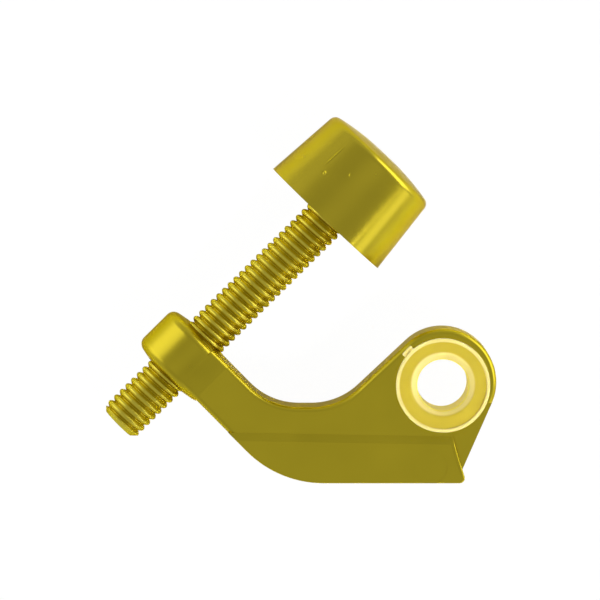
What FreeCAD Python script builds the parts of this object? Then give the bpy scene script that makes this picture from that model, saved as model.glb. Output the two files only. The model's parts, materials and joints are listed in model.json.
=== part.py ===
import FreeCAD, Part
import os
import Sketcher
from math import cos, radians, sin

# Hinge pin door stop, brass plated.
#
# The frame: +Z runs along the hinge pin, which stands upright on a hung door.
# The origin is on the pin's axis, at half the depth of the casting.
# The rod's axis lies in the plane z = 0. It points up and to the right, at rod_angle from +X.
# Its foot is the point of the rod's axis that is nearest to the pin's axis.
# Places along the rod are measured from that foot, and are positive towards the bumper head.

doc = FreeCAD.newDocument("hinge_pin_door_stop")

SIZES = {
    # The eye of the casting, round the hinge pin
    "casting_depth": 12.7,
    "eye_radius": 9.33,
    "eye_shift_x": 0.06,
    "eye_shift_y": 0.5,
    "edge_round": 1.0,
    # The bent arm, from the eye to the collar
    "rod_angle": 44.7,
    "rod_offset": 35.1,
    "arm_top": -24.3,
    "arm_width": 8.35,
    "throat_floor": 3.9,
    "throat_round": 12.0,
    "rise_angle": 43.1,
    "belly_round": 19.0,
    # The pad bar along the bottom, and the thinner side web behind its right end
    "pad_stand": 0.45,
    "pad_drop": 17.25,
    "pad_right": 4.15,
    "pad_height_left": 8.9,
    "pad_height_right": 8.2,
    "pad_corner_round": 0.9,
    "pad_round": 0.3,
    "ramp_width": 1.4,
    "ramp_foot": 0.05,
    "step_lean": 16.0,
    "side_angle": 66.2,
    "side_recess": 0.8,
    "ejector_x": -2.2,
    "ejector_height": 2.9,
    "ejector_radius": 3.0,
    "ejector_sink": 0.15,
    # The collar that carries the rod
    "collar_radius": 7.6,
    "collar_over_top": 0.25,
    "collar_over_low": 0.95,
    "collar_crown": 0.6,
    "collar_flat_radius": 4.6,
    "collar_round": 1.6,
    "cheek_start": 2.4,
    "cheek_end": 6.3,
    "cheek_bite": 0.02,
    # The threaded rod: 5/16 inch across its crests, 18 turns to the inch
    "rod_radius": 3.97,
    "rod_tail": 12.05,
    "rod_chamfer": 0.9,
    "thread_pitch": 1.4111,
    "thread_depth": 0.76,
    "thread_crest": 0.18,
    "thread_flank_angle": 30.0,
    "thread_runout": 0.8,
    "thread_clearance": 0.05,
    "thread_countersink": 0.5,
    "neck_radius": 2.5,
    "neck_length": 2.4,
    "bead_radius": 3.4,
    "bead_length": 2.8,
    "bead_chamfer": 0.7,
    # The bumper head, which swivels on the rod's beaded end
    "head_gap": 29.85,
    "head_tilt": 1.8,
    "head_radius": 12.7,
    "head_rim_height": 14.3,
    "head_taper": 5.4,
    "head_crown": 1.1,
    "head_round": 1.45,
    "head_socket": 2.6,
    "head_clearance": 0.08,
    # The nylon bushing in the eye
    "boss_margin": 0.15,
    "bore_radius": 4.5,
    "sleeve_radius": 6.35,
    "seat_clearance": 0.05,
    "flange_radius": 8.25,
    "flange_thickness": 1.3,
    "flange_dish": 0.35,
    "lip_width": 0.55,
    "lead_in_radius": 5.6,
    "lead_in_depth": 1.2,
    "lead_in_round": 0.6,
    "tail_chamfer": 0.5,
    "tab_angle": 136.0,
    "tab_width": 2.1,
    "tab_reach": 0.75,
    "tab_thickness": 1.0,
    "tab_wall": 0.3,
    "tab_dimple": 0.3,
}

# Places that follow from the sizes. Those that end in _x and _y are corners in the row's frame.
PLACES = {
    "half_depth": "Sizes.casting_depth / 2",
    "pad_half": "half_depth + Sizes.pad_stand",
    "arm_low": "Sizes.arm_top - Sizes.arm_width",
    "foot_x": "-Sizes.rod_offset * sin(Sizes.rod_angle)",
    "foot_y": "Sizes.rod_offset * cos(Sizes.rod_angle)",
    # The arm's upper line, square to the rod, from the rod's axis down to the throat
    "arm_top_start_x": "foot_x + Sizes.arm_top * cos(Sizes.rod_angle)",
    "arm_top_start_y": "foot_y + Sizes.arm_top * sin(Sizes.rod_angle)",
    "throat_left_y": "-Sizes.throat_floor",
    "throat_left_x": "arm_top_start_x + (arm_top_start_y - throat_left_y) * tan(Sizes.rod_angle)",
    # The rise and the side line both touch the eye's circle, and meet at the eye's peak
    "eye_fan": "Sizes.eye_radius / sin(Sizes.side_angle - Sizes.rise_angle)",
    "eye_peak_x": "Sizes.eye_shift_x + eye_fan * (cos(Sizes.side_angle) + cos(Sizes.rise_angle))",
    "eye_peak_y": "Sizes.eye_shift_y + eye_fan * (sin(Sizes.side_angle) + sin(Sizes.rise_angle))",
    "throat_right_y": "-Sizes.throat_floor",
    "throat_right_x": "eye_peak_x - (eye_peak_y - throat_right_y) / tan(Sizes.rise_angle)",
    # The side line ends on the leaning end of the pad
    "pad_corner_x": "Sizes.pad_right",
    "pad_corner_y": "-Sizes.pad_drop",
    "side_run": "((pad_corner_x - eye_peak_x) * sin(Sizes.side_angle)"
                " - (pad_corner_y - eye_peak_y) * cos(Sizes.side_angle))"
                " / cos(Sizes.side_angle - Sizes.step_lean)",
    "side_end_x": "pad_corner_x - side_run * sin(Sizes.step_lean)",
    "side_end_y": "pad_corner_y + side_run * cos(Sizes.step_lean)",
    # The arm's lower line, from the rod's axis down to the belly
    "arm_low_start_x": "foot_x + arm_low * cos(Sizes.rod_angle)",
    "arm_low_start_y": "foot_y + arm_low * sin(Sizes.rod_angle)",
    "belly_y": "-Sizes.pad_drop",
    "belly_x": "arm_low_start_x + (arm_low_start_y - belly_y) * tan(Sizes.rod_angle)",
    # The pad bar's upper edge
    "ridge_left_y": "Sizes.pad_height_left - Sizes.pad_drop",
    "ridge_left_x": "arm_low_start_x + (arm_low_start_y - ridge_left_y) * tan(Sizes.rod_angle)",
    "ridge_right_y": "Sizes.pad_height_right - Sizes.pad_drop",
    "ridge_right_x": "pad_corner_x - Sizes.pad_height_right * tan(Sizes.step_lean)",
    # The recess of the side web runs along the step's line, out past the casting and back
    "recess_floor": "half_depth - Sizes.side_recess",
    "recess_top_y": "-Sizes.sleeve_radius / 2",
    "recess_top_x": "pad_corner_x - (recess_top_y - pad_corner_y) * tan(Sizes.step_lean)",
    "recess_out_x": "Sizes.eye_radius * 2",
    "boss_radius": "Sizes.flange_radius + Sizes.boss_margin",
    # The cheeks rise from the arm's faces to just inside the collar's barrel
    "cheek_height": "sqrt(Sizes.collar_radius ^ 2 - Sizes.cheek_start ^ 2) - Sizes.cheek_bite",
    # Places along the rod
    "collar_low": "arm_low - Sizes.collar_over_low",
    "collar_top": "Sizes.arm_top + Sizes.collar_over_top",
    "rod_end": "collar_low - Sizes.rod_tail",
    "head_back": "collar_top + Sizes.head_gap",
    "head_front_radius": "Sizes.head_radius - Sizes.head_rim_height * tan(Sizes.head_taper)",
    # The head's crowned face: its arc takes three quarters of the flat line inside crown_radius
    "crown_radius": "head_front_radius / 2",
    "crown_turn": "atan(Sizes.head_crown / (head_front_radius - crown_radius))",
    "crown_round": "crown_radius * 3 / 4 / tan(crown_turn / 2)",
    "socket_end": "head_back + Sizes.head_socket",
    "shoulder": "socket_end - Sizes.head_clearance",
    "bead_start": "shoulder + Sizes.neck_length",
    "bead_end": "bead_start + Sizes.bead_length",
    # The thread's groove starts clear of the rod's end, and runs out inside the head's socket
    "groove_start": "rod_end - Sizes.thread_pitch * 4 / 3",
    "groove_run": "head_back + Sizes.thread_runout - groove_start",
    "groove_top": "Sizes.rod_radius + Sizes.thread_clearance",
    "groove_floor": "Sizes.rod_radius - Sizes.thread_depth",
    "groove_half": "(Sizes.thread_pitch - Sizes.thread_crest) / 2",
    "groove_top_half": "groove_half + Sizes.thread_clearance * tan(Sizes.thread_flank_angle)",
    "groove_floor_half": "groove_half - Sizes.thread_depth * tan(Sizes.thread_flank_angle)",
    # Heights of the bushing
    "flange_top": "half_depth + Sizes.flange_thickness",
    "dish_floor": "flange_top - Sizes.flange_dish",
}


def name_cells(sheet, cells):
    """Writes each value or formula into a cell with an alias, for sketches and features to read."""
    for row, (alias, content) in enumerate(cells.items(), start=1):
        sheet.set(f"A{row}", alias)
        sheet.set(f"B{row}", content)
        sheet.setAlias(f"B{row}", alias)


sizes = doc.addObject("Spreadsheet::Sheet", "Sizes")
name_cells(sizes, {alias: str(value) for alias, value in SIZES.items()})
places = doc.addObject("Spreadsheet::Sheet", "Places")
name_cells(places, {alias: "=" + formula for alias, formula in PLACES.items()})
doc.recompute()


def place_along_rod(thing, placement):
    """Puts the X axis of a body or sketch on the rod's axis, with its origin at the foot."""
    thing.setExpression(placement + ".Base.x", "Places.foot_x")
    thing.setExpression(placement + ".Base.y", "Places.foot_y")
    thing.setExpression(placement + ".Rotation.Angle", "Sizes.rod_angle")


def new_body(label):
    body = doc.addObject("PartDesign::Body", label)
    body.Label = label
    return body


def new_sketch(body, name, plane="XY_Plane"):
    """A sketch on one of the body's own planes."""
    sketch = body.newObject("Sketcher::SketchObject", name)
    origin = [item for item in body.Origin.OriginFeatures if item.Role == plane][0]
    sketch.AttachmentSupport = [(origin, "")]
    sketch.MapMode = "FlatFace"
    return sketch


def bind(sketch, constraint, name, formula):
    """Adds a dimension to the sketch and ties it to the sheets."""
    index = sketch.addConstraint(constraint)
    sketch.renameConstraint(index, name)
    sketch.setExpression("Constraints." + name, formula)


def outline(sketch, corners, rounds={}):
    """A closed outline of straight lines through corners, each a name with the formulas of x and y.

    rounds gives, for a corner's name, the formula of the radius that rounds it.
    """
    count = len(corners)
    loose = [FreeCAD.Rotation(FreeCAD.Vector(0, 0, 1), -360 * k / count).multVec(FreeCAD.Vector(9, 0, 0))
             for k in range(count)]
    for k in range(count):
        sketch.addGeometry(Part.LineSegment(loose[k], loose[(k + 1) % count]), False)
    for k in range(count):
        sketch.addConstraint(Sketcher.Constraint("Coincident", k, 2, (k + 1) % count, 1))
    for k, (name, x, y) in enumerate(corners):
        bind(sketch, Sketcher.Constraint("DistanceX", -1, 1, k, 1, loose[k].x), name + "_x", x)
        bind(sketch, Sketcher.Constraint("DistanceY", -1, 1, k, 1, loose[k].y), name + "_y", y)
    doc.recompute()
    for k, (name, _, _) in enumerate(corners):
        if name in rounds:
            sheet, alias = rounds[name].split(".")
            radius = float(doc.getObject(sheet).get(alias))
            sketch.fillet(k, 1, radius, True, True)
            arc = max(i for i, part in enumerate(sketch.Geometry) if isinstance(part, Part.ArcOfCircle))
            bind(sketch, Sketcher.Constraint("Radius", arc, radius), name + "_round", rounds[name])
    return sketch


def circle(sketch, x, y, radius):
    index = sketch.addGeometry(Part.Circle(FreeCAD.Vector(1, 1, 0), FreeCAD.Vector(0, 0, 1), 1), False)
    bind(sketch, Sketcher.Constraint("DistanceX", -1, 1, index, 3, 1), "centre_x", x)
    bind(sketch, Sketcher.Constraint("DistanceY", -1, 1, index, 3, 1), "centre_y", y)
    bind(sketch, Sketcher.Constraint("Radius", index, 1), "radius", radius)
    return sketch


def corner(name):
    """A corner whose x and y both stand in the sheet of places."""
    return (name, f"Places.{name}_x", f"Places.{name}_y")


def extrude(body, kind, name, sketch, length, midplane=True, reverse=False):
    """Pads or pockets a sketch, to both sides of its plane or to one."""
    feature = body.newObject("PartDesign::" + kind, name)
    feature.Profile = sketch
    feature.Midplane = midplane
    feature.Reversed = reverse
    feature.setExpression("Length", length)
    doc.recompute()
    return feature


def turn(body, kind, name, sketch, axis="H_Axis"):
    """Turns a half section round an axis of its own sketch: a Revolution adds and a Groove cuts."""
    feature = body.newObject("PartDesign::" + kind, name)
    feature.Profile = sketch
    feature.ReferenceAxis = (sketch, [axis])
    feature.Angle = 360
    doc.recompute()
    return feature


def lies_at(height):
    """Picks the edges that lie flat at z = height or z = -height."""
    def test(edge):
        box = edge.BoundBox
        return box.ZLength < 0.001 and abs(abs(box.ZMax) - height) < 0.001
    return test


def reaches(height):
    """Picks the edges that lie wholly at or beyond z = height or z = -height."""
    def test(edge):
        box = edge.BoundBox
        return box.ZMin > height - 0.001 or box.ZMax < 0.001 - height
    return test


def below_cheek(edge):
    """Picks the edges that lie beyond the cheeks' upper end, apart from those that run along the rod."""
    down = FreeCAD.Vector(sin(radians(sizes.rod_angle)), -cos(radians(sizes.rod_angle)), 0)
    foot = FreeCAD.Vector(places.foot_x, places.foot_y, 0)
    drops = [(vertex.Point - foot).dot(down) for vertex in edge.Vertexes]
    return min(drops) > sizes.cheek_start - 0.001 and max(drops) - min(drops) > 0.001


def runs_along(start, end):
    """Picks the edges whose ends lie on the line through two points of the plane z = 0, seen from above."""
    along = (end - start).normalize()

    def test(edge):
        ends = [FreeCAD.Vector(v.Point.x, v.Point.y, 0) - start for v in edge.Vertexes]
        return len(ends) == 2 and all((point.cross(along)).Length < 0.01 for point in ends)
    return test


def dress(body, kind, name, base, wanted, **formulas):
    """Fillets or chamfers the edges of the base feature for which every test in wanted holds."""
    picked = [f"Edge{index}" for index, edge in enumerate(base.Shape.Edges, start=1)
              if all(test(edge) for test in wanted)]
    feature = body.newObject("PartDesign::" + kind, name)
    feature.Base = (base, picked)
    for dimension, formula in formulas.items():
        feature.setExpression(dimension, formula)
    return feature


# The casting: one zinc die casting, with the eye, the bent arm, the pad bar and the rod's collar.
casting = new_body("arm_casting")

arm_outline = new_sketch(casting, "ArmOutline")
arm_corners = ["arm_top_start", "throat_left", "throat_right", "eye_peak", "side_end", "pad_corner",
               "belly", "arm_low_start"]
outline(arm_outline, [corner(name) for name in arm_corners],
        {"throat_left": "Sizes.throat_round", "throat_right": "Sizes.throat_round",
         "eye_peak": "Sizes.eye_radius", "pad_corner": "Sizes.pad_corner_round",
         "belly": "Sizes.belly_round"})
arm = extrude(casting, "Pad", "Arm", arm_outline, "Sizes.casting_depth")

# Two slanted cheeks run from the arm's faces up to the collar's barrel.
cheek_outline = new_sketch(casting, "CheekOutline", plane="YZ_Plane")
cheek_outline.AttachmentOffset.Rotation.Axis = FreeCAD.Vector(0, 1, 0)
cheek_outline.setExpression("AttachmentOffset.Base.x", "Places.arm_low_start_y")
cheek_outline.setExpression("AttachmentOffset.Base.z", "Places.arm_low_start_x")
cheek_outline.setExpression("AttachmentOffset.Rotation.Angle", "Sizes.rod_angle")
outline(cheek_outline, [
    ("near_low", "-Sizes.cheek_end", "Places.half_depth"),
    ("near_high", "-Sizes.cheek_start", "Places.cheek_height"),
    ("far_high", "-Sizes.cheek_start", "-Places.cheek_height"),
    ("far_low", "-Sizes.cheek_end", "-Places.half_depth"),
])
cheeks = extrude(casting, "Pad", "Cheeks", cheek_outline, "Sizes.arm_width", midplane=False)
dress(casting, "Fillet", "SoftEdges", cheeks, [reaches(places.half_depth), below_cheek],
      Radius="Sizes.edge_round")
doc.recompute()

# The side web, to the right of the pad's leaning end, is thinner than the arm on both faces.
recess_corners = [
    corner("recess_top"),
    corner("pad_corner"),
    ("below", "Places.recess_out_x", "Places.pad_corner_y"),
    ("outside", "Places.recess_out_x", "Places.recess_top_y"),
]
for face, sign in (("Near", ""), ("Far", "-")):
    recess_outline = new_sketch(casting, face + "RecessOutline")
    recess_outline.setExpression("AttachmentOffset.Base.z", sign + "Places.recess_floor")
    outline(recess_outline, recess_corners)
    extrude(casting, "Pocket", face + "Recess", recess_outline, "Sizes.casting_depth",
            midplane=False, reverse=face == "Near")

# A low boss keeps the bushing's flange on a full seat beside the recess.
boss_outline = circle(new_sketch(casting, "BossOutline"), "0", "0", "Places.boss_radius")
extrude(casting, "Pad", "Boss", boss_outline, "Sizes.casting_depth")

# The pad bar stands out from both faces of the arm, with a ramp along its upper edge.
pad_bar = new_body("pad_bar_form")
bar_outline = new_sketch(pad_bar, "BarOutline")
outline(bar_outline, [corner(name) for name in ("ridge_left", "ridge_right", "pad_corner", "belly")],
        {"pad_corner": "Sizes.pad_corner_round", "belly": "Sizes.belly_round"})
bar = extrude(pad_bar, "Pad", "PadBar", bar_outline, "Places.pad_half * 2")
ridge_ends = [FreeCAD.Vector(places.ridge_left_x, places.ridge_left_y, 0),
              FreeCAD.Vector(places.ridge_right_x, places.ridge_right_y, 0)]
ramp = dress(pad_bar, "Chamfer", "Ramp", bar, [lies_at(places.pad_half), runs_along(*ridge_ends)],
             Size="Sizes.pad_stand - Sizes.ramp_foot", Size2="Sizes.ramp_width")
ramp.ChamferType = "Two distances"
doc.recompute()
dress(pad_bar, "Fillet", "BarEdges", ramp, [lies_at(places.pad_half)], Radius="Sizes.pad_round")
doc.recompute()
joined = casting.newObject("PartDesign::Boolean", "WithPadBar")
joined.Type = "Fuse"
joined.addObject(pad_bar)
doc.recompute()

ejector_outline = new_sketch(casting, "EjectorOutline")
ejector_outline.setExpression("AttachmentOffset.Base.z", "Places.pad_half")
circle(ejector_outline, "Sizes.ejector_x", "Sizes.ejector_height - Sizes.pad_drop",
       "Sizes.ejector_radius")
extrude(casting, "Pocket", "EjectorMark", ejector_outline, "Sizes.ejector_sink", midplane=False)

# The collar is a barrel round the rod's axis, with slightly crowned ends and round corners.
collar_outline = new_sketch(casting, "CollarOutline")
place_along_rod(collar_outline, "AttachmentOffset")
outline(collar_outline, [
    ("low_axis", "Places.collar_low", "0"),
    ("low_flat", "Places.collar_low", "Sizes.collar_flat_radius"),
    ("low_corner", "Places.collar_low + Sizes.collar_crown", "Sizes.collar_radius"),
    ("top_corner", "Places.collar_top - Sizes.collar_crown", "Sizes.collar_radius"),
    ("top_flat", "Places.collar_top", "Sizes.collar_flat_radius"),
    ("top_axis", "Places.collar_top", "0"),
], {"low_corner": "Sizes.collar_round", "top_corner": "Sizes.collar_round"})
turn(casting, "Revolution", "Collar", collar_outline)

rod_hole_outline = new_sketch(casting, "RodHoleOutline")
place_along_rod(rod_hole_outline, "AttachmentOffset")
hole_radius = "Sizes.rod_radius + Sizes.thread_clearance"
outline(rod_hole_outline, [
    ("low_axis", "Places.collar_low", "0"),
    ("low_mouth", "Places.collar_low", hole_radius + " + Sizes.thread_countersink"),
    ("low_wall", "Places.collar_low + Sizes.thread_countersink", hole_radius),
    ("top_wall", "Places.collar_top - Sizes.thread_countersink", hole_radius),
    ("top_mouth", "Places.collar_top", hole_radius + " + Sizes.thread_countersink"),
    ("top_axis", "Places.collar_top", "0"),
])
turn(casting, "Groove", "RodHole", rod_hole_outline)

seat_outline = circle(new_sketch(casting, "SeatOutline"), "0", "0",
                      "Sizes.sleeve_radius + Sizes.seat_clearance")
extrude(casting, "Pocket", "BushingSeat", seat_outline, "Sizes.casting_depth * 2")

# The nylon bushing: a sleeve through the eye, and a dished flange with a lip and a small tab.
bushing = new_body("pin_bushing")
bushing_outline = new_sketch(bushing, "BushingOutline", plane="XZ_Plane")
outline(bushing_outline, [
    ("bore_low", "Sizes.bore_radius + Sizes.tail_chamfer / 2", "-Places.half_depth"),
    ("bore_start", "Sizes.bore_radius", "Sizes.tail_chamfer - Places.half_depth"),
    ("lead_low", "Sizes.bore_radius", "Places.dish_floor - Sizes.lead_in_depth"),
    ("lead_high", "Sizes.lead_in_radius", "Places.dish_floor"),
    ("dish_edge", "Sizes.flange_radius - Sizes.lip_width", "Places.dish_floor"),
    ("lip_in", "Sizes.flange_radius - Sizes.lip_width", "Places.flange_top"),
    ("lip_out", "Sizes.flange_radius", "Places.flange_top"),
    ("flange_low", "Sizes.flange_radius", "Places.half_depth"),
    ("sleeve_top", "Sizes.sleeve_radius", "Places.half_depth"),
    ("sleeve_low", "Sizes.sleeve_radius", "Sizes.tail_chamfer - Places.half_depth"),
    ("tail", "Sizes.sleeve_radius - Sizes.tail_chamfer", "-Places.half_depth"),
], {"lead_low": "Sizes.lead_in_round", "lead_high": "Sizes.lead_in_round"})
turn(bushing, "Revolution", "Sleeve", bushing_outline, "V_Axis")


def tab_sketch(name, start, end, width):
    """A rectangle on top of the flange, which runs out from the bore at the tab's angle."""
    sketch = new_sketch(bushing, name)
    sketch.setExpression("AttachmentOffset.Base.z", "Places.flange_top")
    sketch.setExpression("AttachmentOffset.Rotation.Angle", "Sizes.tab_angle")
    return outline(sketch, [
        ("left_in", start, f"({width}) / 2"),
        ("left_out", end, f"({width}) / 2"),
        ("right_out", end, f"-({width}) / 2"),
        ("right_in", start, f"-({width}) / 2"),
    ])


tab_outline = tab_sketch("TabOutline", "Sizes.flange_radius - Sizes.lip_width",
                         "Sizes.flange_radius + Sizes.tab_reach", "Sizes.tab_width")
extrude(bushing, "Pad", "Tab", tab_outline, "Sizes.tab_thickness", midplane=False, reverse=True)
dimple_outline = tab_sketch("DimpleOutline", "Sizes.flange_radius",
                            "Sizes.flange_radius + Sizes.tab_reach - Sizes.tab_wall",
                            "Sizes.tab_width - 2 * Sizes.tab_wall")
extrude(bushing, "Pocket", "TabDimple", dimple_outline, "Sizes.tab_dimple", midplane=False)

# The rod, first as wide as its thread's crests, with the neck and bead that hold the bumper head.
rod = new_body("threaded_rod")
place_along_rod(rod, "Placement")
rod_outline = new_sketch(rod, "RodOutline")
outline(rod_outline, [
    ("end_axis", "Places.rod_end", "0"),
    ("end_edge", "Places.rod_end", "Sizes.rod_radius - Sizes.rod_chamfer"),
    ("end_corner", "Places.rod_end + Sizes.rod_chamfer", "Sizes.rod_radius"),
    ("shoulder_out", "Places.shoulder", "Sizes.rod_radius"),
    ("shoulder_in", "Places.shoulder", "Sizes.neck_radius"),
    ("bead_in", "Places.bead_start", "Sizes.neck_radius"),
    ("bead_out", "Places.bead_start", "Sizes.bead_radius"),
    ("bead_corner", "Places.bead_end - Sizes.bead_chamfer", "Sizes.bead_radius"),
    ("bead_edge", "Places.bead_end", "Sizes.bead_radius - Sizes.bead_chamfer"),
    ("bead_axis", "Places.bead_end", "0"),
])
turn(rod, "Revolution", "Rod", rod_outline)

# The thread is one groove that winds round the rod, right-handed, with the crests left between its turns.
groove_outline = new_sketch(rod, "GrooveOutline")
outline(groove_outline, [
    ("floor_low", "Places.groove_start - Places.groove_floor_half", "Places.groove_floor"),
    ("top_low", "Places.groove_start - Places.groove_top_half", "Places.groove_top"),
    ("top_high", "Places.groove_start + Places.groove_top_half", "Places.groove_top"),
    ("floor_high", "Places.groove_start + Places.groove_floor_half", "Places.groove_floor"),
])
thread = rod.newObject("PartDesign::SubtractiveHelix", "Thread")
thread.Profile = groove_outline
thread.ReferenceAxis = (groove_outline, ["H_Axis"])
thread.Mode = "pitch-height-angle"
thread.setExpression("Pitch", "Sizes.thread_pitch")
thread.setExpression("Height", "Places.groove_run")
doc.recompute()

# The bumper head: a tapered cup form with a crowned face. It sits slightly askew on the rod.
head = new_body("bumper_head")
place_along_rod(head, "Placement")
head_outline = new_sketch(head, "HeadOutline")
head_outline.setExpression("AttachmentOffset.Base.x", "Places.head_back")
head_outline.setExpression("AttachmentOffset.Rotation.Angle", "Sizes.head_tilt")
outline(head_outline, [
    ("back_axis", "0", "0"),
    ("back_rim", "0", "Sizes.head_radius"),
    ("front_rim", "Sizes.head_rim_height", "Places.head_front_radius"),
    ("crown", "Sizes.head_rim_height + Sizes.head_crown", "Places.crown_radius"),
    ("front_axis", "Sizes.head_rim_height + Sizes.head_crown", "0"),
], {"front_rim": "Sizes.head_round", "crown": "Places.crown_round"})
turn(head, "Revolution", "Head", head_outline)

socket_outline = new_sketch(head, "SocketOutline")
outline(socket_outline, [
    ("mouth_axis", "Places.head_back - Sizes.head_socket / 2", "0"),
    ("mouth", "Places.head_back - Sizes.head_socket / 2", "Sizes.rod_radius + Sizes.head_clearance"),
    ("socket_end", "Places.socket_end", "Sizes.rod_radius + Sizes.head_clearance"),
    ("neck_low", "Places.socket_end", "Sizes.neck_radius + Sizes.head_clearance"),
    ("neck_high", "Places.bead_start - Sizes.head_clearance", "Sizes.neck_radius + Sizes.head_clearance"),
    ("cavity_low", "Places.bead_start - Sizes.head_clearance", "Sizes.bead_radius + Sizes.head_clearance"),
    ("cavity_end", "Places.bead_end + Sizes.head_clearance", "Sizes.bead_radius + Sizes.head_clearance"),
    ("cavity_axis", "Places.bead_end + Sizes.head_clearance", "0"),
])
turn(head, "Groove", "Socket", socket_outline)

doc.recompute()
for item in doc.Objects:
    faults = [state for state in item.State if state in ("Invalid", "Error")]
    if faults:
        raise RuntimeError(f"{item.Label} is {faults}")

os.makedirs("parts", exist_ok=True)
for body in (casting, bushing, rod, head):
    shape = body.Shape
    if shape.isNull() or not shape.isValid() or len(shape.Solids) != 1:
        raise RuntimeError(f"{body.Label} has no single valid solid")
    shape.exportStep(f"parts/{body.Label}.step")
    box = shape.BoundBox
    print(f"{body.Label}: {shape.Volume:.1f} mm3, x {box.XMin:.2f} to {box.XMax:.2f},"
          f" y {box.YMin:.2f} to {box.YMax:.2f}, z {box.ZMin:.2f} to {box.ZMax:.2f}")
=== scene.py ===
# %% [markdown]
# A hinge pin door stop: a bent zinc casting, brass plated, with a nylon bushing for the hinge pin, and a
# threaded rod that carries a bumper head. The solids come ready and at their real size from the frame.
# This lesson gives them their finishes, draws the rod again with a rolled thread, and sets up a small
# studio round the part.

# %% Load the frame
import json
from math import cos, radians, sin, tau

import bpy
import numpy as np
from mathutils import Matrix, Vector


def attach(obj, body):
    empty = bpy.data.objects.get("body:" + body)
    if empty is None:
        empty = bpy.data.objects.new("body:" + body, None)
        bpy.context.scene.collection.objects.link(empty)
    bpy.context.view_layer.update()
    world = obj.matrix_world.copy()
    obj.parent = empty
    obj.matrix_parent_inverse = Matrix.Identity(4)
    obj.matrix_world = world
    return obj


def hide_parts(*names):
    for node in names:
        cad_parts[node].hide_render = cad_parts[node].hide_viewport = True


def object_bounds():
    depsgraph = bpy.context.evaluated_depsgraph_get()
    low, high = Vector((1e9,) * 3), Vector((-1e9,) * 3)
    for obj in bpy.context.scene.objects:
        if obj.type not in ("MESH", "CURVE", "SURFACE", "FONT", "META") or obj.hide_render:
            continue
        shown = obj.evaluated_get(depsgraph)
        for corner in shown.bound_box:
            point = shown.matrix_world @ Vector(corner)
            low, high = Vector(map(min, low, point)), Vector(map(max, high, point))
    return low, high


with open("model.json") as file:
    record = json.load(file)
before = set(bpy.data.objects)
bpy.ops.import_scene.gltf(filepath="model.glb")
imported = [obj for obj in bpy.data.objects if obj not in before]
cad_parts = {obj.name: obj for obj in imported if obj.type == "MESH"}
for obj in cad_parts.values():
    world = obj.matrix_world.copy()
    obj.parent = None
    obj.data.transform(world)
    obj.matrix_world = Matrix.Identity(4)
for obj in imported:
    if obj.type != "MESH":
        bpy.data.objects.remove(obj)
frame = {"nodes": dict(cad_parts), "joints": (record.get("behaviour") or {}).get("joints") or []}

MM = 0.001
cad_box = [list(corner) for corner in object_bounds()]
print("CAD box in mm:", [[round(value / MM, 1) for value in corner] for corner in cad_box])

# %% [markdown]
# The photograph looks straight down on the flat of the casting, with a long lens. The upper side walls
# show as a thin band, so the camera leans a few degrees towards them. An orthographic camera would come
# close, but a real lens a long way off keeps the slight perspective of the bore. The lens follows from
# the scale of the picture in the plane of the rod: so many pixels to a millimetre, over a frame of 600
# pixels.

# %% Place the camera
PICTURE_PIXELS = 600
PIXELS_PER_MM = 5.67
CAMERA_DISTANCE = 900 * MM
CAMERA_LEAN = radians(2.9)
PICTURE_CENTRE = Vector((-25.06, 14.62, 0)) * MM
SENSOR_MM = 36

camera_data = bpy.data.cameras.new("camera")
camera_data.sensor_width = SENSOR_MM
camera_data.lens = SENSOR_MM * CAMERA_DISTANCE / (PICTURE_PIXELS / PIXELS_PER_MM * MM)
camera = bpy.data.objects.new("camera", camera_data)
bpy.context.scene.collection.objects.link(camera)
camera.location = PICTURE_CENTRE + Vector((0, sin(CAMERA_LEAN), cos(CAMERA_LEAN))) * CAMERA_DISTANCE
camera.rotation_euler = (-CAMERA_LEAN, 0, 0)
bpy.context.scene.camera = camera
print("lens in mm:", round(camera_data.lens))

# %% [markdown]
# A material in Blender is a graph of nodes. A few helpers keep the graphs short to write. The first turns
# a colour as a painter writes it into the linear numbers that light adds up in. The second puts one node
# in a graph, with its settings, its values and its links. The others start a material and put it on a
# solid.

# %% Helpers for colours and nodes


def linear(hex_colour):
    """The linear colour of an sRGB hex value.

    Each share c becomes c / 12.92 where it is dark, and ((c + 0.055) / 1.055) ** 2.4 elsewhere.
    """
    shares = [int(hex_colour[i:i + 2], 16) / 255 for i in (1, 3, 5)]
    return [c / 12.92 if c <= 0.04045 else ((c + 0.055) / 1.055) ** 2.4 for c in shares] + [1]


def add_node(tree, kind, values=None, links=None, **settings):
    """Adds a shader node: settings are its own options, values and links fill its inputs by name."""
    node = tree.nodes.new("ShaderNode" + kind)
    for option, choice in settings.items():
        setattr(node, option, choice)
    for socket, value in (values or {}).items():
        node.inputs[socket].default_value = value
    for socket, output in (links or {}).items():
        tree.links.new(output, node.inputs[socket])
    return node


def new_material(name):
    """An empty material, with its shader, its output and the object coordinates that patterns use."""
    material = bpy.data.materials.new(name)
    material.use_nodes = True
    tree = material.node_tree
    tree.nodes.clear()
    surface = add_node(tree, "BsdfPrincipled")
    add_node(tree, "OutputMaterial", links={"Surface": surface.outputs["BSDF"]})
    place = add_node(tree, "TexCoord").outputs["Object"]
    return material, tree, surface, place


def finish_node(name, material):
    """Gives every material slot of a CAD node the same finish."""
    for material_slot in frame["nodes"][name].material_slots:
        material_slot.material = material
    print(name, "is finished in", material.name)


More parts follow.
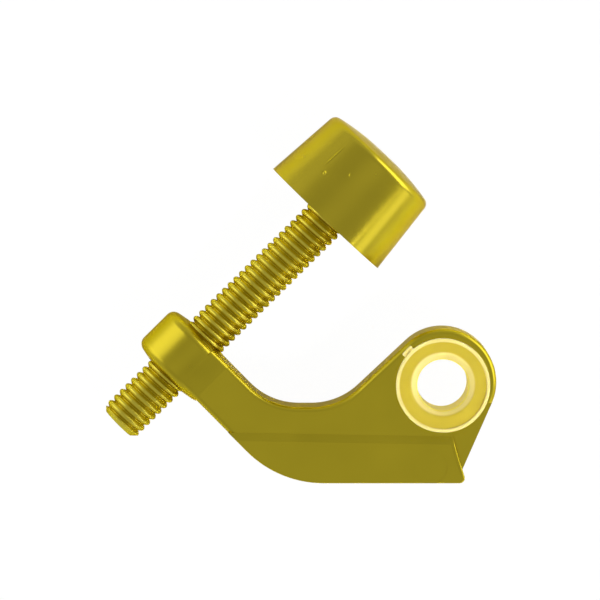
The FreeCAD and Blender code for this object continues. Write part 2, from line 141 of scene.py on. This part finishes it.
# %% [markdown]
# The casting is zinc, tumbled smooth, plated with a thin coat of greenish yellow brass and dipped in
# clear lacquer. Tumbling leaves a surface that mirrors only softly, with slow waves where the mould was
# polished. So the roughness is middling and uneven, a shallow wave bends the light, and the lacquer is a
# thin glossy coat that adds a whiter glint to the brightest places. A painted picture could carry all
# this, but it would need a flat layout of the part and would show its seams. Noise in the part's own
# millimetres has none.
#
# Small marks are ellipsoids in the same space. Inside one, a bump sinks or raises the surface. The
# casting has a small dimple on the arm, and on both faces the rounded rim where the pad steps down to the
# side web, which catches a bright line.

# %% A finish in plated brass
BRASS = "#cfbc2e"
BRASS_DARK = "#c1af2a"
BRASS_EDGE = "#cebc27"
LACQUER_ROUGHNESS = 0.14
DRIFT_MM = 7


def dent(tree, place, centre_mm, half_mm, turn_degrees):
    """A small mark: 1 at its centre and 0 at its rim, an ellipsoid of the given half sizes, turned about Z.

    depth = smoothstep(1 - |(p - centre) / half|), from a Mapping that centres, turns and scales the place.
    """
    local = add_node(tree, "Mapping", {"Location": [value * MM for value in centre_mm],
                                       "Rotation": (0, 0, radians(turn_degrees)),
                                       "Scale": [value * MM for value in half_mm]},
                     {"Vector": place}, vector_type="TEXTURE")
    far = add_node(tree, "VectorMath", {}, {0: local.outputs[0]}, operation="LENGTH").outputs["Value"]
    return add_node(tree, "MapRange", {"From Min": 1, "From Max": 0}, {"Value": far},
                    interpolation_type="SMOOTHSTEP").outputs["Result"]


def plated_brass(name, wave_mm, wave_depth_mm, smoothest, roughest, lacquer, marks=(),
                 shades=(BRASS_DARK, BRASS)):
    """Brass plating: slow waves as a bump, with roughness and colour drifting over a few mm, and small marks.

    Each mark gives its centre and half sizes in mm, its turn about Z in degrees, and how far it rises in mm.
    """
    material, tree, surface, place = new_material(name)
    drift = add_node(tree, "TexNoise", {"Scale": 1 / (DRIFT_MM * MM), "Detail": 1}, {"Vector": place})
    waves = add_node(tree, "TexNoise", {"Scale": 1 / (wave_mm * MM), "Detail": 1}, {"Vector": place})
    roughness = add_node(tree, "MapRange", {"From Min": 0.1, "From Max": 0.9, "To Min": smoothest,
                                            "To Max": roughest}, {"Value": drift.outputs["Fac"]})
    colour = add_node(tree, "Mix", {"A": linear(shades[0]), "B": linear(shades[1])},
                      {"Factor": drift.outputs["Fac"]}, data_type="RGBA")
    bump = add_node(tree, "Bump", {"Strength": 1, "Distance": wave_depth_mm * MM},
                    {"Height": waves.outputs["Fac"]})
    for centre_mm, half_mm, turn_degrees, depth_mm in marks:
        bump = add_node(tree, "Bump", {"Strength": 1, "Distance": depth_mm * MM},
                        {"Height": dent(tree, place, centre_mm, half_mm, turn_degrees),
                         "Normal": bump.outputs["Normal"]})
    tree.links.new(colour.outputs["Result"], surface.inputs["Base Color"])
    tree.links.new(roughness.outputs["Result"], surface.inputs["Roughness"])
    tree.links.new(bump.outputs["Normal"], surface.inputs["Normal"])
    surface.inputs["Metallic"].default_value = 1
    surface.inputs["Specular Tint"].default_value = linear(BRASS_EDGE)
    surface.inputs["Coat Weight"].default_value = lacquer
    surface.inputs["Coat Roughness"].default_value = LACQUER_ROUGHNESS
    return material


# %% Plated brass on the casting
casting_marks = [((-30.56, -9.7, 6.35), (0.45, 0.45, 0.6), 0, -0.05),
                 ((2.5, -12.6, 6.6), (4.9, 0.48, 2.5), -73.3, 0.19),
                 ((2.5, -12.6, -6.6), (4.9, 0.48, 2.5), -73.3, 0.19)]
casting_brass = plated_brass("brass_plated_zinc_casting", wave_mm=9, wave_depth_mm=0.03, smoothest=0.26,
                             roughest=0.36, lacquer=0.05, marks=casting_marks)
finish_node("arm_casting", casting_brass)

# %% [markdown]
# The bumper head was turned on a lathe before it was plated, so it mirrors more sharply than the casting.
# A nick with a raised middle, a smear, a soft dot and one long scratch have marked its side. They are a
# tenth of a millimetre or so deep, too shallow to cut into the mesh, so the finish carries them.

# %% Plated brass on the turned head
head_marks = [((-20.88, 37.32, 10.6), (0.5, 0.5, 0.6), 0, -0.12),
              ((-20.88, 37.32, 10.6), (0.25, 0.25, 0.6), 0, 0.15),
              ((-16.33, 36.99, 11.6), (0.25, 0.7, 0.7), -15, 0.08),
              ((-24.43, 40.21, 6.2), (0.5, 0.5, 0.9), 0, 0.1),
              ((-19.07, 40.19, 9.8), (2.9, 0.2, 3.0), 42.5, 0.08)]
head_brass = plated_brass("brass_plated_turned_head", wave_mm=6, wave_depth_mm=0.02, smoothest=0.2,
                          roughest=0.3, lacquer=0.15, marks=head_marks)
finish_node("bumper_head", head_brass)

# %% [markdown]
# The bushing is moulded nylon, a warm yellow that lets some light in. At the raised lip round the flange and
# at the rounded mouth of the bore, the colour is painted pale. This is a painted highlight for the light that
# comes through the thin walls from both sides. The bore's wall is painted a bright, clear yellow, a painted
# backlight for the light that reaches it from behind and below. Scattering alone could show this, but it is
# slow and noisy in walls as thin as these. So the painted light follows the distance from the bore's axis,
# which is the Z axis of the part, and a little subsurface scattering softens it.

# %% Moulded nylon for the bushing, with painted light
NYLON = "#bda61e"
NYLON_LIGHT = "#c7b22c"
# The next two colours are painted light: a pale painted highlight for the lip and the mouth, and a bright
# painted backlight for the bore's wall.
NYLON_PAINTED_HIGHLIGHT = "#e6d683"
NYLON_PAINTED_BACKLIGHT = "#fff04c"
BORE_MOUTH_MM = (5.35, 5.75)
MOUTH_SHIFT_MM = 0.25
BORE_WALL_MM = (4.55, 4.75)
LIP_MM = (7.55, 7.72)
FLOW_MM = 3
SKIN_MM = 0.3
SKIN_DEPTH_MM = 0.004


def moulded_nylon():
    """Nylon: a soft sheen, a faint flow mottling of some mm, and painted light that depends on the radius.
    The pale mask is 1 on the rounded mouth, between the bore's wall and the flange, and outside the lip's
    radius. It is 0 elsewhere, with a soft step between them. Where it is 1, the colour is painted pale, as a
    painted highlight. Inside the radius of the bore's wall, the colour is painted bright, as a painted
    backlight. The mouth's painted highlight is shifted a little along Y.
    """
    material, tree, surface, place = new_material("moulded_nylon")
    flow = add_node(tree, "TexNoise", {"Scale": 1 / (FLOW_MM * MM), "Detail": 3}, {"Vector": place})
    colour = add_node(tree, "Mix", {"A": linear(NYLON), "B": linear(NYLON_LIGHT)},
                      {"Factor": flow.outputs["Fac"]}, data_type="RGBA")
    flat = add_node(tree, "VectorMath", {1: (1, 1, 0)}, {0: place}, operation="MULTIPLY")
    radius = add_node(tree, "VectorMath", {}, {0: flat.outputs[0]}, operation="LENGTH").outputs["Value"]
    raised = add_node(tree, "VectorMath", {1: (0, MOUTH_SHIFT_MM * MM, 0)}, {0: flat.outputs[0]},
                      operation="SUBTRACT")
    reach = add_node(tree, "VectorMath", {}, {0: raised.outputs[0]}, operation="LENGTH").outputs["Value"]
    mouth = add_node(tree, "MapRange", {"From Min": BORE_MOUTH_MM[1] * MM, "From Max": BORE_MOUTH_MM[0] * MM},
                     {"Value": reach}, interpolation_type="SMOOTHSTEP")
    off_wall = add_node(tree, "MapRange", {"From Min": BORE_WALL_MM[0] * MM,
                                           "From Max": BORE_WALL_MM[1] * MM}, {"Value": radius})
    mouth = add_node(tree, "Math", {}, {0: mouth.outputs[0], 1: off_wall.outputs[0]}, operation="MULTIPLY")
    # The bore's wall is painted bright, a painted backlight.
    colour = add_node(tree, "Mix", {"A": linear(NYLON_PAINTED_BACKLIGHT)},
                      {"Factor": off_wall.outputs[0], "B": colour.outputs["Result"]}, data_type="RGBA")
    # The lip and the mouth are painted pale, a painted highlight.
    lip = add_node(tree, "MapRange", {"From Min": LIP_MM[0] * MM, "From Max": LIP_MM[1] * MM},
                   {"Value": radius})
    painted_highlight = add_node(tree, "Math", {}, {0: mouth.outputs[0], 1: lip.outputs[0]}, operation="MAXIMUM")
    colour = add_node(tree, "Mix", {"B": linear(NYLON_PAINTED_HIGHLIGHT)},
                      {"Factor": painted_highlight.outputs[0], "A": colour.outputs["Result"]}, data_type="RGBA")
    skin = add_node(tree, "TexNoise", {"Scale": 1 / (SKIN_MM * MM), "Detail": 2}, {"Vector": place})
    bump = add_node(tree, "Bump", {"Strength": 1, "Distance": SKIN_DEPTH_MM * MM},
                    {"Height": skin.outputs["Fac"]})
    tree.links.new(colour.outputs["Result"], surface.inputs["Base Color"])
    tree.links.new(bump.outputs["Normal"], surface.inputs["Normal"])
    surface.inputs["Roughness"].default_value = 0.38
    surface.inputs["IOR"].default_value = 1.53
    surface.inputs["Subsurface Weight"].default_value = 0.25
    surface.inputs["Subsurface Radius"].default_value = (0.6, 0.5, 0.15)
    surface.inputs["Subsurface Scale"].default_value = 1.5 * MM
    return material


finish_node("pin_bushing", moulded_nylon())

# %% [markdown]
# The rod has a real screw thread, 18 turns to the inch, rolled into the steel before it was plated. The
# frame's solid has it with straight flanks and flat crests, as the standard draws it. Its corners are
# measured first: they give the crest radius and both ends of the thread.

# %% Measure the rod
CLOSE = 0.01 * MM
screw = next(joint for joint in frame["joints"] if joint["name"] == "rod_turn")
AXIS = np.array(screw["axis"])
FOOT = np.array(screw["pos_m"])
FRONT = np.array((0.0, 0.0, 1.0))
SIDE = np.cross(AXIS, FRONT)


def along_and_out(name):
    """How far along the rod's axis and how far out from it each corner of a CAD node lies."""
    mesh = frame["nodes"][name].data
    points = np.empty(len(mesh.vertices) * 3)
    mesh.vertices.foreach_get("co", points)
    points = points.reshape(-1, 3) - FOOT
    along = points @ AXIS
    return along, np.linalg.norm(points - along[:, None] * AXIS, axis=1)


rod_along, rod_out = along_and_out("threaded_rod")
CREST_RADIUS = rod_out.max()
on_crest = rod_along[rod_out > CREST_RADIUS - CLOSE]
TAIL, SHOULDER = rod_along.min(), on_crest.max()
TAIL_RADIUS = rod_out[rod_along < TAIL + CLOSE].max()
print("the thread runs from", round(TAIL / MM, 2), "to", round(SHOULDER / MM, 2), "mm along the rod")

# %% [markdown]
# A rolled and plated thread has broad round crests and narrow roots. A screw thread is a surface of two
# parameters: how far along the rod, and which way round it. The radius at a point depends only on where
# the point lies across one turn of the thread, and that place slips by one pitch with each full turn. It
# falls from the crest as a power of the distance to it. At the tail a cone cuts the crests away, as the
# real rod's chamfer does. A Screw modifier could wind the same shape, but it would not blend with the
# cone at the tail.

# %% The shape of the thread
PITCH = 25.4 / 18 * MM
THREAD_DEPTH = 0.76 * MM
CREST_PLACE = 0.094 * MM
CREST_ROUNDNESS = 2.2
ROWS_PER_TURN = 20
POINTS_AROUND = 96


def thread_radius(along, turn):
    """Radius = crest radius - depth * (2 * distance) ** roundness, with the distance to a crest in turns.

    The place across the turn is (along - crest place) / pitch - turn / 360 degrees, and the distance to the
    crest is 0 on it and 0.5 in the root. The tail's cone limits the radius at 45 degrees.
    """
    across = (along - CREST_PLACE) / PITCH - turn / tau
    distance = np.abs(across - np.round(across))
    radius = CREST_RADIUS - THREAD_DEPTH * (2 * distance) ** CREST_ROUNDNESS
    return np.minimum(radius, TAIL_RADIUS + (along - TAIL))


rows = int(round((SHOULDER - TAIL) / PITCH * ROWS_PER_TURN))
thread_rows = np.linspace(TAIL, SHOULDER, rows + 1)
turns = np.arange(POINTS_AROUND) * tau / POINTS_AROUND
thread_along = np.repeat(thread_rows[:, None], POINTS_AROUND, axis=1)
thread_out = thread_radius(thread_along, turns)
print("the thread has", round((SHOULDER - TAIL) / PITCH, 1), "turns")

# %% [markdown]
# Inside the head the rod goes on as a plain neck and a bead that holds the head, and the frame's solid
# has both. Their corners are read from that solid, so the two always agree.

# %% The neck and the bead
hidden = rod_along > SHOULDER - CLOSE
corners = np.unique(np.round(np.stack([rod_along[hidden], rod_out[hidden]], axis=1) / MM, 2), axis=0) * MM
past_shoulder = corners[:, 0] > SHOULDER + 2 * CLOSE
NECK = corners[~past_shoulder, 1].min()
BEAD = corners[past_shoulder, 1].max()
bead_places = corners[past_shoulder & (corners[:, 1] > BEAD - 2 * CLOSE), 0]
BEAD_START, BEAD_SHOULDER = bead_places.min(), bead_places.max()
BEAD_END = corners[:, 0].max()
BEAD_TIP = BEAD - (BEAD_END - BEAD_SHOULDER)
neck_profile = [(SHOULDER, NECK), (BEAD_START, NECK), (BEAD_START, BEAD), (BEAD_SHOULDER, BEAD),
                (BEAD_END, BEAD_TIP)]
neck_along = np.repeat(np.array([[place] for place, _ in neck_profile]), POINTS_AROUND, axis=1)
neck_out = np.repeat(np.array([[radius] for _, radius in neck_profile]), POINTS_AROUND, axis=1)
print("neck and bead corners in mm:", [(round(p / MM, 2), round(r / MM, 2)) for p, r in neck_profile])

# %% [markdown]
# The rows of both parts become one closed surface round the rod's axis. Each row is a ring of points,
# neighbouring rings are joined by four-sided faces, and a fan closes each end. The new rod takes the place of
# the frame's one, gets a plated finish of its own and rides on the same moving body.

# %% Build the rod


def lathe_mesh(name, along, radius):
    """A closed surface round the rod's axis, from arrays of rows by points around, with a fan at each end.

    point = foot + along * axis + radius * (cos(turn) * front + sin(turn) * side)
    """
    rows, count = radius.shape
    turn = np.arange(count) * tau / count
    ring = np.cos(turn)[:, None] * FRONT + np.sin(turn)[:, None] * SIDE
    grid = FOOT + along[..., None] * AXIS + radius[..., None] * ring
    ends = [FOOT + along[0, 0] * AXIS, FOOT + along[-1, 0] * AXIS]
    points = np.concatenate([grid.reshape(-1, 3), ends])
    low = np.arange(rows - 1)[:, None] * count + np.arange(count)
    low_next = np.arange(rows - 1)[:, None] * count + (np.arange(count) + 1) % count
    quads = np.stack([low, low_next, low_next + count, low + count], axis=-1).reshape(-1, 4)
    around, around_next = np.arange(count), (np.arange(count) + 1) % count
    last = (rows - 1) * count
    tail_fan = np.stack([np.full(count, rows * count), around_next, around], axis=-1)
    head_fan = np.stack([np.full(count, rows * count + 1), last + around, last + around_next], axis=-1)
    mesh = bpy.data.meshes.new(name)
    mesh.from_pydata(points, [], quads.tolist() + tail_fan.tolist() + head_fan.tolist())
    mesh.polygons.foreach_set("use_smooth", np.ones(len(mesh.polygons), dtype=bool))
    piece = bpy.data.objects.new(name, mesh)
    bpy.context.scene.collection.objects.link(piece)
    return piece


rod = lathe_mesh("rolled_thread_rod", np.concatenate([thread_along, neck_along]),
                 np.concatenate([thread_out, neck_out]))
rod_brass = plated_brass("brass_plated_rolled_thread", wave_mm=2, wave_depth_mm=0.01, smoothest=0.26,
                         roughest=0.42, lacquer=0.05, shades=("#d2c23e", "#decf4d"))
rod.data.materials.append(rod_brass)
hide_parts("threaded_rod")
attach(rod, "rod")
print("the rod has", len(rod.data.polygons), "faces")

# %% [markdown]
# A small studio: a white table under the part, a pale horizon that darkens towards the ceiling, and soft
# boxes. A polished metal shows what stands round it, so the flat of the casting, which looks straight up,
# shows the dark ceiling, and its rounded edges show the table and the soft boxes. More light on the table
# would make it white, and would wash out the part too. Instead the camera and the metal see the table as
# plain white, mixed with its real shading, which keeps the part's shadow. The table glows for the nylon
# too, as a sheet that is lit from below does, and that light fills the bore.

# %% The table
TABLE_DROP = 0.5 * MM
TABLE_HALF = 3.0
TABLE_WHITE = "#f4f4f2"
TABLE_GLOW = 1.02
PLAIN_FOR_CAMERA = 0.95
PLAIN_FOR_METAL = 0.2
PLAIN_FOR_NYLON = 0.6


def white_table():
    """Paper that is mostly its own light to the camera and in reflections, and isn't there from below."""
    material, tree, surface, _ = new_material("white_table_paper")
    surface.inputs["Base Color"].default_value = linear(TABLE_WHITE)
    surface.inputs["Roughness"].default_value = 0.9
    ray = add_node(tree, "LightPath").outputs
    seen = add_node(tree, "Math", {}, {0: ray["Is Camera Ray"], 1: ray["Is Transmission Ray"]},
                    operation="MAXIMUM")
    seen = add_node(tree, "Math", {1: PLAIN_FOR_CAMERA}, {0: seen.outputs[0]}, operation="MULTIPLY")
    mirrored = add_node(tree, "Math", {1: PLAIN_FOR_METAL}, {0: ray["Is Glossy Ray"]}, operation="MULTIPLY")
    shared = add_node(tree, "Math", {1: PLAIN_FOR_NYLON}, {0: ray["Is Diffuse Ray"]}, operation="MULTIPLY")
    share = add_node(tree, "Math", {}, {0: seen.outputs[0], 1: mirrored.outputs[0]}, operation="MAXIMUM")
    share = add_node(tree, "Math", {}, {0: share.outputs[0], 1: shared.outputs[0]}, operation="MAXIMUM")
    glow = add_node(tree, "Emission", {"Color": (1, 1, 1, 1), "Strength": TABLE_GLOW})
    plain = add_node(tree, "MixShader", {}, {0: share.outputs[0], 1: surface.outputs[0], 2: glow.outputs[0]})
    clear = add_node(tree, "BsdfTransparent")
    below = add_node(tree, "NewGeometry").outputs["Backfacing"]
    both = add_node(tree, "MixShader", {}, {0: below, 1: plain.outputs[0], 2: clear.outputs[0]})
    output = next(node for node in tree.nodes if node.type == "OUTPUT_MATERIAL")
    tree.links.new(both.outputs[0], output.inputs["Surface"])
    return material


table_mesh = bpy.data.meshes.new("table")
edge = np.array([(-1, -1, 0), (1, -1, 0), (1, 1, 0), (-1, 1, 0)]) * TABLE_HALF
table_mesh.from_pydata(edge + (0, 0, cad_box[0][2] - TABLE_DROP), [], [(0, 1, 2, 3)])
table_mesh.materials.append(white_table())
table = bpy.data.objects.new("table", table_mesh)
bpy.context.scene.collection.objects.link(table)
print("the table lies", round((TABLE_DROP - cad_box[0][2]) / MM, 1), "mm under the middle of the part")

# %% [markdown]
# The room is a gradient that depends only on the height of the direction, as its sine: pale round the
# horizon, where a white backdrop would stand, darker above it, and a little paler again straight
# overhead. A colour ramp holds it. A ramp starts with two stops, its ends, so the levels name those first.
# The camera sees a plain white backdrop in its place.

# %% The room
ROOM_LEVELS = {0.0: 0.6, 1.0: 0.52, 0.2: 0.6, 0.4: 0.58, 0.57: 0.42, 0.9: 0.41}

world = bpy.data.worlds.new("studio")
bpy.context.scene.world = world
world.use_nodes = True
room = world.node_tree
room.nodes.clear()
direction = add_node(room, "TexCoord").outputs["Generated"]
height = add_node(room, "SeparateXYZ", links={"Vector": direction}).outputs["Z"]
level = add_node(room, "ValToRGB", {}, {"Fac": height})
for place, (sine, grey) in enumerate(ROOM_LEVELS.items()):
    stop = level.color_ramp.elements[place] if place < 2 else level.color_ramp.elements.new(sine)
    stop.position = sine
    stop.color = (grey, grey, grey, 1)
light = add_node(room, "Background", {"Strength": 1}, {"Color": level.outputs["Color"]})
backdrop = add_node(room, "Background", {"Color": (1, 1, 1, 1), "Strength": 1})
seen = add_node(room, "LightPath").outputs["Is Camera Ray"]
both = add_node(room, "MixShader", {}, {0: seen, 1: light.outputs[0], 2: backdrop.outputs[0]})
add_node(room, "OutputWorld", links={"Surface": both.outputs[0]})
print("the room's grey by the sine of the height:", dict(sorted(ROOM_LEVELS.items())))

# %% [markdown]
# Each soft box is placed by its bearing round the part, its height angle and its distance, and its
# brightness is given as the level that it shows in a mirror, so that a white table reads as 1. The boxes
# on the left and right are there for their reflections in the collar, the head and the rounded edges. The
# key and the fill light only the nylon and the table, so the metal doesn't show them.

# %% The soft boxes


def soft_box(name, bearing, height_angle, distance, width, height, level, aim=PICTURE_CENTRE, spread=180,
             mirrored=True):
    """An area lamp that looks at the aim. Its power is level * pi * area, in watts."""
    lamp = bpy.data.lights.new(name, "AREA")
    lamp.shape = "RECTANGLE"
    lamp.size, lamp.size_y = width, height
    lamp.energy = level * np.pi * width * height
    lamp.spread = radians(spread)
    stand = bpy.data.objects.new(name, lamp)
    bpy.context.scene.collection.objects.link(stand)
    flat = cos(radians(height_angle))
    towards = Vector((cos(radians(bearing)) * flat, sin(radians(bearing)) * flat, sin(radians(height_angle))))
    stand.location = aim + towards * distance
    stand.rotation_mode = "QUATERNION"
    stand.rotation_quaternion = towards.to_track_quat("Z", "Y")
    stand.visible_camera = False
    stand.visible_glossy = mirrored
    print(name, "at", [round(value, 3) for value in stand.location], round(lamp.energy, 2), "W")


KEY_AIM = Vector((5, 5, -10)) * MM
soft_box("left_box", bearing=157, height_angle=18, distance=0.146, width=0.11, height=0.13, level=1.05)
soft_box("right_box", bearing=-46, height_angle=14, distance=0.40, width=0.35, height=0.12, level=0.9)
soft_box("right_strip", bearing=-46, height_angle=31, distance=0.38, width=0.16, height=0.03, level=4.2)
soft_box("far_right_box", bearing=22, height_angle=15, distance=0.25, width=0.28, height=0.13, level=2.0)
soft_box("key", bearing=-46, height_angle=60, distance=0.5, width=0.12, height=0.12, level=0.75, aim=KEY_AIM,
         spread=18, mirrored=False)
soft_box("fill", bearing=190, height_angle=40, distance=0.5, width=0.3, height=0.3, level=2.1, mirrored=False)

# %% [markdown]
# The colours stay as they are written, with no film look over them.

bpy.context.scene.view_settings.view_transform = "Standard"
